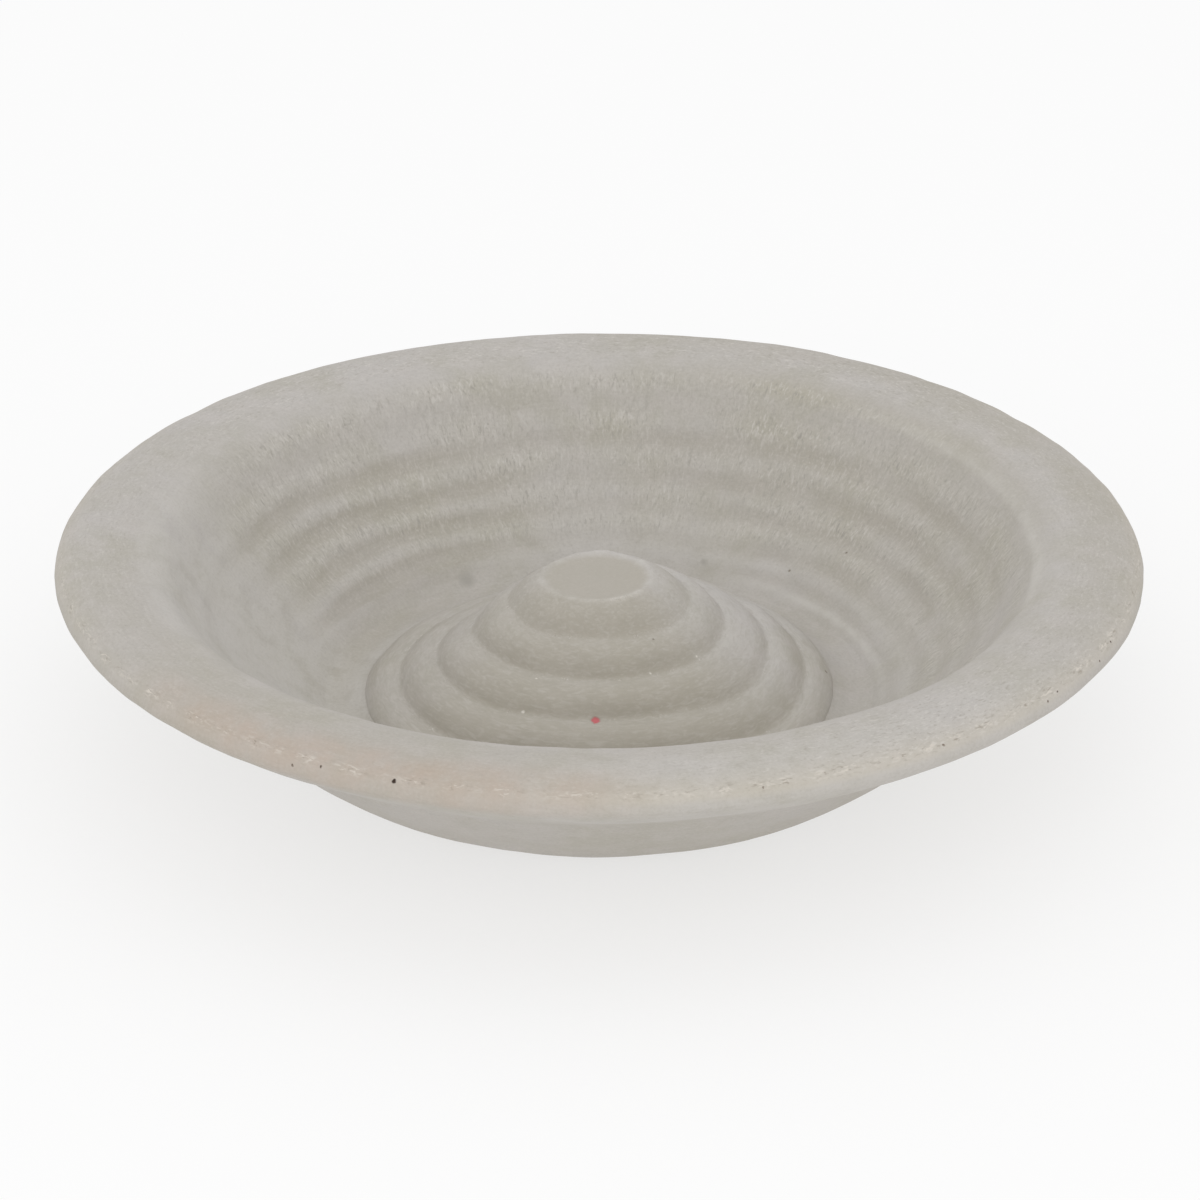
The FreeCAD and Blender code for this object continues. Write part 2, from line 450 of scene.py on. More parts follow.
def throwing_rings(spots):
    """One spiral up the wall, stronger here and weaker there, and a low ridge at the wall's foot."""
    radius, height, angle = spots.radius, spots.height, spots.angle
    from_centre = np.hypot(radius - wall_centre.x, height - wall_centre.z)
    wall_turn = np.arctan2(height - wall_centre.z, radius - wall_centre.x)
    share = (wall_turn - wall_low_angle) / wall_span
    on_wall = 1 - ramp(np.abs(from_centre - inside_radius), 0, skin_share * wall_thickness)
    right_reach = right_ring_reach + right_ring_spread * ramp(share, *right_spread_range)
    to_left = facing(angle, *left_ring_side)
    to_right = facing(angle, right_ring_heading, right_reach)
    to_bare = facing(angle, *bare_wall_side)

    drift = ring_drift * uneven(angle, share, seed=3, lobes=(2, 9), climb=9)
    shift = right_ring_shift * to_right * ramp(share, *ring_shift_range)
    phase = (radius - ring_groove_radius - shift) / ring_pitch + angle / (2 * math.pi) + drift
    ring_back = scallop(phase, ring_groove_share)

    strength = ring_strength + right_ring_strength * to_right
    strength += left_ring_strength * to_left * (1 - left_fade * ramp(share, *left_fade_range))
    strength += ring_chance * uneven(angle, share, seed=5, lobes=(2, 16), climb=22)
    strength = strength * (1 - bare_fade * to_bare)
    strength += ledge_strength * to_bare * bump(radius, *ledge_band)
    ringed = on_wall * ramp(share, *ring_start_range) * (1 - ramp(share, *ring_end_range))
    ringed = ringed * (1 - ring_fade * ramp(share, *ring_fade_range)) * np.clip(strength, *ring_limits)
    foot_ridge = on_wall * bump(radius, *foot_ridge_band) * facing(angle, *foot_ridge_side)
    rise = ring_depth * ringed * ring_back + foot_ridge_height * foot_ridge
    push(spots, rise, (wall_centre.x - radius) / from_centre, (wall_centre.z - height) / from_centre)

    spots.from_centre = from_centre
    spots.share = share
    spots.on_wall = on_wall
    spots.to_right = to_right
    spots.to_bare = to_bare
    spots.ring_back = ring_back
    spots.ringed = ringed
    spots.foot_ridge = foot_ridge


# The mound's steps, with the radius of each groove. A share of the slope is 0 at the mound's top edge
# and 1 at its foot.
step_grooves = (26.8 * MM, 37.4 * MM, 48.1 * MM, 59.3 * MM, 71 * MM)
step_start = 0.35
step_depth = 1.8 * MM
step_groove_share = 0.14
shoulder_share = 0.75
step_start_range = (-0.02, 0.02)
step_end_range = (0.98, 1.02)
step_drift = 0.04
drift_start_range = (0, 0.1)
drift_end_range = (0.9, 1)
step_chance = 0.2
step_limits = (0.5, 1.5)
right_shift = 2.6 * MM
right_shift_side = (0, 80)
right_shift_range = (38 * MM, 48 * MM)
right_fade_range = (60 * MM, mound_radius)
right_fade = 0.6
left_shift = 1.4 * MM
left_shift_side = (-144, 34)
left_shift_range = (43 * MM, 47 * MM)
faint_step_side = (155, 60)
faint_step_fade = 0.45
soft_step_side = (-15, 55)
soft_step_fade = 0.5
wide_groove_side = (-42, 45)
wide_groove_share = 0.16


def mound_steps(spots):
    """Round steps down the mound. They are level, but not quite even."""
    angle = spots.angle
    from_edge = spots.radius - mound_edge.x
    over_edge = spots.height - mound_edge.z
    along = (from_edge * mound_slope.x + over_edge * mound_slope.z) / mound_slope.length_squared
    above = from_edge * mound_normal.x + over_edge * mound_normal.z
    on_mound = 1 - ramp(np.abs(above), 0, skin_share * mound_thickness)
    step_radius = mound_edge.x + along * mound_slope.x

    shift = right_shift * facing(angle, *right_shift_side) * ramp(step_radius, *right_shift_range)
    shift = shift * (1 - right_fade * ramp(step_radius, *right_fade_range))
    shift += left_shift * facing(angle, *left_shift_side) * ramp(step_radius, *left_shift_range)
    groove_places = (mound_top_radius, *step_grooves)
    groove_phases = (step_start, *range(1, len(groove_places)))
    phase = np.interp(step_radius - shift, groove_places, groove_phases)
    drift = step_drift * uneven(angle, along, seed=7, lobes=(1, 6), climb=8)
    phase += drift * ramp(along, *drift_start_range) * (1 - ramp(along, *drift_end_range))

    strength = 1 + step_chance * uneven(angle, along, seed=9, lobes=(1, 12), climb=12)
    strength = np.clip(strength, *step_limits) * np.where(phase < 1, shoulder_share, 1)
    strength = strength * (1 - faint_step_fade * facing(angle, *faint_step_side))
    strength = strength * (1 - soft_step_fade * facing(angle, *soft_step_side))
    stepped = on_mound * ramp(along, *step_start_range) * (1 - ramp(along, *step_end_range)) * strength
    groove_share = step_groove_share + wide_groove_share * facing(angle, *wide_groove_side)
    rise = step_depth * stepped * scallop(phase, groove_share)
    push(spots, rise, mound_normal.x, mound_normal.z)

    spots.along = along
    spots.step_part = phase % 1


# The mound's departures from an even cone, and the ridge round its top
mound_skin_range = (-7 * MM, -1.5 * MM)
mound_skirt_range = (mound_radius + trough_width, mound_radius + 2 * MM)
full_height = 1.2 * MM
full_band = (68 * MM, 6 * MM)
slack_depth = 0.5 * MM
slack_band = (37 * MM, 7 * MM)
swell_height = 2.6 * MM
swell_band = (58 * MM, 14 * MM)
swell_side = (25, 60)
dent_depth = 4 * MM
dent_band = (45 * MM, 14 * MM)
dent_side = (150, 50)
top_sag = 0.5 * MM
top_sag_range = (mound_top_radius + 6 * MM, mound_top_radius)
top_pinch = 1.3 * MM
top_pinch_band = (mound_top_radius, 5 * MM)
top_ridge_height = 0.25 * MM
top_ridge_band = (mound_top_radius, 1.3 * MM)
top_ridge_range = (mound_top - 3 * MM, mound_top - 1.5 * MM)
top_ridge_side = (-70, 45)
top_ridge_strength = 0.4
top_ridge_chance = 0.4
top_ridge_more = 0.8
top_ridge_limits = (0.1, 1.3)


def uneven_mound(spots):
    """The mound is slack at its second step, full at its foot, uneven behind, and has a worn top edge."""
    radius, height, angle = spots.radius, spots.height, spots.angle
    cone_height = mound_top - np.maximum(radius - mound_top_radius, 0) / hollow_run
    skin = ramp(height - cone_height, *mound_skin_range) * ramp(height, seat_height, floor_top)
    skin = skin * ramp(radius, *mound_skirt_range)
    swelling = full_height * bump(radius, *full_band) - slack_depth * bump(radius, *slack_band)
    swelling += swell_height * bump(radius, *swell_band) * facing(angle, *swell_side)
    swelling -= dent_depth * bump(radius, *dent_band) * facing(angle, *dent_side)
    swelling -= top_sag * ramp(radius, *top_sag_range)
    pinch = top_pinch * (1 + np.cos(angle)) / 2 * bump(radius, *top_pinch_band)
    push(spots, skin, -pinch, swelling)

    chance = uneven(angle, spots.along, seed=11, lobes=(3, 14), climb=0)
    strength = top_ridge_strength + top_ridge_chance * chance
    strength += top_ridge_more * facing(angle, *top_ridge_side)
    spots.top_ridge = bump(radius, *top_ridge_band) * ramp(height, *top_ridge_range)
    spots.top_ridge = spots.top_ridge * np.clip(strength, *top_ridge_limits)
    push(spots, spots.top_ridge, 0, top_ridge_height)


# The lip's relief, measured in from the rim, and the wave of the rim
lip_side_range = (lip_widest.z - 1 * MM, lip_widest.z + 1.5 * MM)
patch_chance = 0.5
flake_strength = 0.8
flake_chance = 0.3
inner_ridge_height = 0.2 * MM
inner_ridge_band = (31.5 * MM, 2 * MM)
inner_ridge_heading = 8
inner_ridge_range = (0.6, 0.95)
lip_hollow_depth = 0.2 * MM
lip_hollow_band = (25 * MM, 4 * MM)
lip_hollow_front = 1.7
arris_inset = 2.1 * MM
arris_height = 0.2 * MM
arris_band = (arris_inset, 1.1 * MM)
arris_groove_depth = 0.18 * MM
arris_groove_band = (4.4 * MM, 1.1 * MM)
lip_core = place(rim_radius - 14 * MM, overall_height - 13 * MM)
rim_wave = 0.35 * MM
rim_wave_turns = 4
rim_wave_heading = 60
rim_wave_range = (5 * MM, 40 * MM)
rim_back_range = (-0.2, 0.2)
rim_level_side = (160, 45)


def lip_relief(spots):
    """The lip has a soft inner ridge, a shallow hollow, a worn arris with a groove, and a slow wave."""
    radius, height, angle = spots.radius, spots.height, spots.angle
    inset = rim_radius - radius
    lip_side = ramp(height, *lip_side_range)
    patch = 1 + patch_chance * uneven(angle, spots.share, seed=13, lobes=(2, 14), climb=3)
    flakes = flake_strength + flake_chance * uneven(angle, spots.share, seed=15, lobes=(10, 60), climb=30)
    inner_ridge = bump(inset, *inner_ridge_band) * lip_side * patch
    inner_ridge = inner_ridge * ramp(np.cos(angle - np.radians(inner_ridge_heading)), *inner_ridge_range)
    hollow = bump(inset, *lip_hollow_band) * lip_side * patch * (1 - lip_hollow_front * spots.to_front)
    arris = bump(inset, *arris_band) * lip_side * flakes
    arris_groove = bump(inset, *arris_groove_band) * lip_side * patch
    rise = inner_ridge_height * inner_ridge - lip_hollow_depth * hollow
    rise += arris_height * arris - arris_groove_depth * arris_groove
    from_core = np.hypot(radius - lip_core.x, height - lip_core.z)
    push(spots, rise, (radius - lip_core.x) / from_core, (height - lip_core.z) / from_core)

    wave = np.cos(rim_wave_turns * (angle - np.radians(rim_wave_heading))) * (radius / rim_radius) ** 3
    wave = wave * ramp(np.sin(angle), *rim_back_range) * ramp(height, *rim_wave_range)
    push(spots, wave * (1 - facing(angle, *rim_level_side)), 0, rim_wave)

    spots.lip_side = lip_side
    spots.inner_ridge = inner_ridge


# Slip on the wall
hatch_strength = 0.68
hatch_chance = 0.2
hatch_limits = (0.15, 1)
hatch_skin_range = (5 * MM, 1 * MM)
hatch_start_range = (0.05, 0.35)
hatch_top = 0.9
hatch_top_rise = 0.25
hatch_back_range = (0.3, 0.9)
hatch_end_range = (0.2, -0.05)
pale_foot_band = (92 * MM, 6 * MM)
pale_foot_side = (8, 35)
# Where painted light lifts the shade low on the back wall
pale_wall_band = (0.15, 0.2)
pale_wall_side = (82, 50)
# Where a painted band of shade lies along one ring, low on the back-left wall
dark_ring_band = (91 * MM, 3.5 * MM)
dark_ring_side = (133, 24)


def slip_on_wall(spots):
    """Rows of a mark, its strength and where it is: finger strokes, painted shade in the grooves and along
    one ring, pale places, and painted light low on the back wall.
    """
    radius, angle, share = spots.radius, spots.angle, spots.share
    patches = hatch_strength + hatch_chance * uneven(angle, share, seed=19, lobes=(3, 24), climb=30)
    over_hatch = share - hatch_top - hatch_top_rise * ramp(np.sin(angle), *hatch_back_range)
    hatched = np.clip(patches, *hatch_limits) * (1 - spots.to_bare) * (1 + spots.ring_back) / 2
    hatched = hatched * ramp(np.abs(spots.from_centre - inside_radius), *hatch_skin_range)
    hatched = hatched * ramp(share, *hatch_start_range) * ramp(over_hatch, *hatch_end_range)
    pale_foot = bump(radius, *pale_foot_band) * facing(angle, *pale_foot_side)
    pale_wall = bump(share, *pale_wall_band) * facing(angle, *pale_wall_side)
    dark_ring = bump(radius, *dark_ring_band) * facing(angle, *dark_ring_side)
    return (
        ("thin_slip", 0.25, spots.to_right * hatched),
        # Painted shade in the grooves of the throwing rings
        ("painted_shade", 1, spots.ringed * (1 - spots.ring_back)),
        # A painted band of shade along one ring on the back-left wall
        ("painted_shade", 1, spots.on_wall * dark_ring),
        ("pooled_slip_and_painted_light", 0.5, spots.on_wall * spots.to_bare),
        ("pooled_slip_and_painted_light", 0.3, spots.on_wall * pale_foot),
        # Painted light that lifts the shade low on the back wall
        ("pooled_slip_and_painted_light", 0.3, spots.on_wall * pale_wall),
        ("rubbed", 0.5, spots.foot_ridge),
        ("hatched", 0.88, hatched),
    )


# Slip on the mound and in the trough
mound_top_range = (mound_top_radius, mound_top_radius - 2 * MM)
mound_slope_range = (mound_radius, mound_radius - 3 * MM)
low_step_range = (mound_radius - 16 * MM, mound_radius - 8 * MM)
nose_start_range = (0, 0.06)
nose_end_range = (0.45, 0.1)
step_face_range = (0.45, 0.75)
nick_band = (0.02, 0.07)
nick_chance = 0.8
# The mound's left side, darkened as painted shade
shaded_step_side = (165, 75)
dull_foot_side = (-15, 40)
trough_height_range = (floor_top + 7 * MM, floor_top + 2 * MM)
trough_band = (mound_radius + 0.75 * trough_width, 0.6 * trough_width)
trough_strength = 0.3
# Where painted light lifts the shade in the trough by the mound's foot, and the trough's left side
trough_edge_band = (mound_radius + 2 * MM, 3 * MM)
left_trough_side = (170, 60)


def slip_on_mound(spots):
    """Rows as for the wall: a thin top, pale noses on the steps that are partly painted highlight, painted
    shade on the step faces and the mound's left side, nicks, dull places in the trough, and painted light
    at its left edge.
    """
    radius, angle, step_part = spots.radius, spots.angle, spots.step_part
    on_top = ramp(radius, *mound_top_range)
    on_slope = ramp(radius, *mound_slope_range) * (1 - on_top)
    # Pale noses on the steps' upper, flatter faces: partly a lilac pooled slip, partly painted highlight
    # where these faces turn up to the light
    noses = on_slope * ramp(step_part, *nose_start_range) * ramp(step_part, *nose_end_range)
    nicks = nick_chance * uneven(angle, spots.along, seed=23, lobes=(6, 60), climb=20)
    nicks = on_slope * bump(step_part, *nick_band) * np.clip(nicks, 0, 1)
    # Painted shade on the mound's left side, laid as the tan thin-slip wash
    to_shaded_side = facing(angle, *shaded_step_side)
    low_dull = ramp(radius, *low_step_range) * facing(angle, *dull_foot_side)
    low_down = ramp(spots.height, *trough_height_range)
    to_trough = facing(angle, *left_trough_side)
    trough = bump(radius, *trough_band) * low_down
    trough = trough * (trough_strength + (1 - trough_strength) * to_trough)
    return (
        ("thin_slip", 0.85, on_top),
        ("thin_slip", 1, on_slope * spots.to_front),
        ("thin_slip", 0.4, on_slope * to_shaded_side),
        ("thin_slip", 0.25, on_slope * low_dull),
        ("thin_slip", 0.7, trough),
        # Painted shade on the steeper lower face of each step, with a browner tint
        ("painted_shade", 0.3, on_slope * ramp(step_part, *step_face_range)),
        # Paler noses: partly pooled slip, partly painted highlight
        ("pooled_slip_and_painted_light", 0.3, noses),
        ("pooled_slip_and_painted_light", -0.15, noses * spots.to_front),
        # Less painted highlight on the noses on the mound's shaded left side
        ("pooled_slip_and_painted_light", -0.25, noses * to_shaded_side),
        # Painted light at the trough's left edge by the mound's foot, lifting the shade there
        ("pooled_slip_and_painted_light", 0.35, bump(radius, *trough_edge_band) * low_down * to_trough),
        ("rubbed", 0.38, spots.top_ridge),
        ("brushed", 0.2, on_slope),
        ("gritty", -0.15, np.maximum(on_slope, on_top)),
        ("flecked", 1, nicks),
        ("flaking", 0.45, spots.top_ridge * facing(angle, *top_ridge_side)),
    )


# Slip on the lip and outside, measured in from the rim
outside_range = (3 * MM, 8 * MM)
outside_radius_range = (mound_radius, mound_radius + 8 * MM)
body_range = (overall_height - 4.5 * MM, overall_height - 7 * MM)
lip_range = (22 * MM, 12 * MM)
edge_height_range = (lip_widest.z - 5 * MM, lip_widest.z + 2 * MM)
edge_band = (0.5 * MM, 4.5 * MM)
edge_top_range = (overall_height - 6.5 * MM, overall_height - 4 * MM)
edge_tan_fade = 0.8
tan_heading = -128
tan_reach = 48
inner_tan_reach = 70
pale_side = (-68, 40)
thin_lip_side = (30, 75)
inner_lip_band = (20 * MM, 6 * MM)
shoulder_band = (29 * MM, 5 * MM)
worn_heading = -114
worn_reach = 34
worn_band = (4 * MM, 6.5 * MM)
fleck_inset_range = (28 * MM, 20 * MM)
fleck_height_range = (lip_widest.z + 1.5 * MM, lip_widest.z + 4 * MM)
fleck_strength = 0.5
fleck_worn_loss = 0.35
fleck_worn_reach = 60
fleck_side_range = (0.6, 0.95)
fleck_side_fade = 0.4
flaking_band = (arris_inset, 0.8 * MM)
flaking_front_range = (-0.2, 0.5)
flaking_strength = 0.4
flaking_chance = 0.5
flaking_limits = (0, 0.9)


def slip_on_lip(spots):
    """Rows as for the wall: tan and pale sides, flecks, a flaking arris, a pale outer edge that is partly
    painted light at the front, and the worn edge.
    """
    radius, height, angle, lip_side = spots.radius, spots.height, spots.angle, spots.lip_side
    inset = rim_radius - radius
    to_tan = facing(angle, tan_heading, tan_reach)
    on_lip = ramp(inset, *lip_range)
    edge_height = ramp(height, *edge_height_range)
    body = ramp(spots.from_centre - inside_radius, *outside_range) * ramp(radius, *outside_radius_range)
    # The pale outer edge is partly pale scraped slip and partly painted light: it is half as strong away
    # from the front, where the light falls on it
    edge = bump(inset, *edge_band) * (1 - edge_tan_fade * to_tan) * (1 + spots.to_front) / 2
    inner_lip = bump(inset, *inner_lip_band) * lip_side * facing(angle, tan_heading, inner_tan_reach)
    flecked = fleck_strength - fleck_worn_loss * facing(angle, worn_heading, fleck_worn_reach)
    flecked = flecked * ramp(inset, *fleck_inset_range) * ramp(height, *fleck_height_range)
    flecked = flecked * (1 - fleck_side_fade * ramp(np.abs(np.cos(angle)), *fleck_side_range))
    chance = uneven(angle, spots.share, seed=21, lobes=(25, 120), climb=0)
    flaking = np.clip(flaking_strength + flaking_chance * chance, *flaking_limits)
    flaking = flaking * bump(inset, *flaking_band)
    flaking = flaking * lip_side * ramp(-np.sin(angle), *flaking_front_range)
    worn = bump(inset, *worn_band) * edge_height * facing(angle, worn_heading, worn_reach)
    return (
        ("thin_slip", 0.3, on_lip * edge_height * to_tan),
        ("thin_slip", 0.4, on_lip * edge_height * facing(angle, *thin_lip_side)),
        ("thin_slip", 0.3, body * ramp(height, *body_range)),
        ("thin_slip", 0.45, bump(inset, *shoulder_band) * lip_side * spots.to_right),
        ("thin_slip", 0.35, inner_lip),
        ("pooled_slip_and_painted_light", 0.3, on_lip * facing(angle, *pale_side)),
        ("rubbed", 0.35, spots.inner_ridge),
        ("flecked", 1, flecked),
        ("flaking", 1, flaking),
        # Pale outer edge, partly painted light at the front
        ("pale_edge_and_front_light", 0.35, edge * ramp(height, *edge_top_range)),
        ("worn_edge", 0.7, worn),
    )


# The marks of the slip, with painted shade and painted light among them, and how strong each is on plain
# clay
plain_slip = {
    "thin_slip": 0,
    "painted_shade": 0,
    "pooled_slip_and_painted_light": 0,
    "rubbed": 0,
    "brushed": 0.1,
    "gritty": 0.25,
    "flecked": 0,
    "hatched": 0,
    "flaking": 0,
    "pale_edge_and_front_light": 0,
    "worn_edge": 0,
}


def hand_thrown(piece):
    """Moves each point as the potter's hands did, and stores the slip's marks there.

    The moves depend on place alone, so joints stay closed.
    """
    spots = spots_of(piece)
    throwing_rings(spots)
    mound_steps(spots)
    uneven_mound(spots)
    lip_relief(spots)
    spots.points[:, 0] += spots.out * np.cos(spots.angle)
    spots.points[:, 1] += spots.out * np.sin(spots.angle)
    spots.points[:, 2] += spots.up
    spots.height += spots.up
    piece.data.vertices.foreach_set("co", spots.points.ravel())
    piece.data.update()

    marks = {name: np.full_like(spots.radius, strength) for name, strength in plain_slip.items()}
    for name, strength, where in slip_on_wall(spots) + slip_on_mound(spots) + slip_on_lip(spots):
        marks[name] += strength * where
    for name, values in marks.items():
        attribute = piece.data.attributes.new(name, "FLOAT", "POINT")
        attribute.data.foreach_set("value", np.clip(values, 0, 1).astype(np.float32))


# Shallow dents of the hand, as size and depth
hand_dents = ((32 * MM, 0.7 * MM), (9 * MM, 0.22 * MM))


def dented(piece):
    """Dents a piece all over, apart from the face that the dish stands on."""
    group = piece.vertex_groups.new(name="above_the_foot")
    lifted = [vertex.index for vertex in piece.data.vertices if vertex.co.z > foot_height]
    if lifted:
        group.add(lifted, 1.0, "REPLACE")
    for size, depth in hand_dents:
        lumps = bpy.data.textures.new("hand_dents", "CLOUDS")
        lumps.cloud_type = "COLOR"
        lumps.noise_scale = size
        lumps.noise_depth = 1
        dents = piece.modifiers.new("dents", "DISPLACE")
        dents.texture = lumps
        dents.texture_coords = "LOCAL"
        dents.direction = "RGB_TO_XYZ"
        dents.mid_level = 0.5
        dents.strength = depth
        dents.vertex_group = group.name
        deselect_all()
        piece.select_set(True)
        bpy.context.view_layer.objects.active = piece
        bpy.ops.object.modifier_apply(modifier=dents.name)


def linear(code):
    """A linear colour with alpha from an sRGB hex code."""
    levels = [int(code[start:start + 2], 16) / 255 for start in (0, 2, 4)]
    colour = [
        level / 12.92 if level <= 0.04045 else ((level + 0.055) / 1.055) ** 2.4
        for level in levels
    ]
    return colour + [1]


def add_node(tree, kind, sockets=None, **settings):
    """Adds a node. A socket is linked where its value is another node's socket, or else set."""
    node = tree.nodes.new(kind)
    for name, value in settings.items():
        setattr(node, name, value)
    for socket, value in (sockets or {}).items():
        if isinstance(value, bpy.types.NodeSocket):
            tree.links.new(value, node.inputs[socket])
        else:
            node.inputs[socket].default_value = value
    return node


# Single flaws: a chip down to the red clay, smudges, pale dots and pinholes. Each has its node, its place,
# its radius and the width of its soft edge in millimetres, its depth from 0 to 1, and its colour.
flaws = (
    ("centre_mound", (-1.0, -48.7, 26), 1.5, 0.6, 1.0, "C66E72"),
    ("floor_ring", (-41.5, 73, 13), 3.6, 2.6, 0.0, "A8A49D"),
    ("floor_ring", (33, 80.8, 15.3), 1.6, 1.4, 0.0, "AAA69F"),
    ("bowl_wall", (58.9, 67.8, 16.7), 0.6, 0.4, 1.0, "8F887C"),
    ("bowl_wall", (77.1, 64.9, 26), 0.5, 0.3, 1.0, "8F887C"),
    ("centre_mound", (67.1, 2.9, 14.3), 0.7, 0.4, 1.0, "857C70"),
    ("centre_mound", (15.9, -25.2, 40.7), 0.4, 0.3, 1.0, "8F887C"),
    ("centre_mound", (15.1, -34.3, 34.4), 0.6, 0.4, 0.0, "D6D2CA"),
    ("centre_mound", (29, -23.8, 34.4), 0.6, 0.4, 0.0, "D6D2CA"),
    ("centre_mound", (-18.3, -35, 33.3), 0.6, 0.4, 0.0, "D6D2CA"),
    ("centre_mound", (-22, -43.3, 26), 0.6, 0.4, 0.0, "D6D2CA"),
    ("rim_collar", (-54.2, -149, 60.4), 0.6, 0.3, 1.0, "3C3029"),
    ("rim_collar", (-74, -140.4, 60.2), 0.5, 0.3, 1.0, "5F5045"),
    ("rim_collar", (-82, -137, 58.7), 0.45, 0.3, 1.0, "6B5B4E"),
    ("rim_collar", (43.2, -152.6, 60.4), 0.45, 0.3, 1.0, "85776A"),
    ("rim_collar", (92.5, -128.8, 60.4), 0.45, 0.3, 1.0, "85776A"),
    ("rim_collar", (126, -96.7, 60.1), 0.5, 0.3, 1.0, "5F5045"),
    ("rim_collar", (123.1, -101.1, 59.3), 0.45, 0.3, 1.0, "6B5B4E"),
    ("rim_collar", (143.8, -66.8, 60.4), 0.5, 0.3, 1.0, "5F5045"),
    ("rim_collar", (140, -76.3, 59.1), 0.45, 0.3, 1.0, "6B5B4E"),
)

# The flaws' ragged edges, and their relief beside the slip's
ragged_size = 1.4 * MM
ragged_reach = 1 * MM
flaw_relief = 1.2
relief_height = 0.25 * MM

# Where a node that mixes colours has them: the lower one, the upper one, and the result
mix_under = 6
mix_over = 7
mix_result = 2


def flawed(tree, spot, colour, pieces):
    """The colour with the flaws over it, and the flaws' relief."""
    sockets = {"Vector": spot, "Scale": 1 / ragged_size, "Detail": 1.0}
    ragged = add_node(tree, "ShaderNodeTexNoise", sockets).outputs["Color"]
    sockets = {0: ragged, 1: [ragged_reach] * 3, 2: spot}
    ragged = add_node(tree, "ShaderNodeVectorMath", sockets, operation="MULTIPLY_ADD").outputs[0]
    sockets = {0: ragged, 1: [ragged_reach / 2] * 3}
    ragged = add_node(tree, "ShaderNodeVectorMath", sockets, operation="SUBTRACT").outputs[0]
    relief = 0.0
    for node, middle, size, softness, depth, code in flaws:
        on_surface = pieces[node].closest_point_on_mesh(Vector(middle) * MM)[1]
        sockets = {0: ragged, 1: on_surface}
        away = add_node(tree, "ShaderNodeVectorMath", sockets, operation="DISTANCE").outputs["Value"]
        sockets = {"Value": away, "From Min": size * MM, "From Max": (size - softness) * MM}
        cover = add_node(tree, "ShaderNodeMapRange", sockets).outputs[0]
        sockets = {0: cover, mix_under: colour, mix_over: linear(code)}
        colour = add_node(tree, "ShaderNodeMix", sockets, data_type="RGBA").outputs[mix_result]
        sockets = {0: cover, 1: -flaw_relief * depth, 2: relief}
        relief = add_node(tree, "ShaderNodeMath", sockets, operation="MULTIPLY_ADD").outputs[0]
    return colour, relief


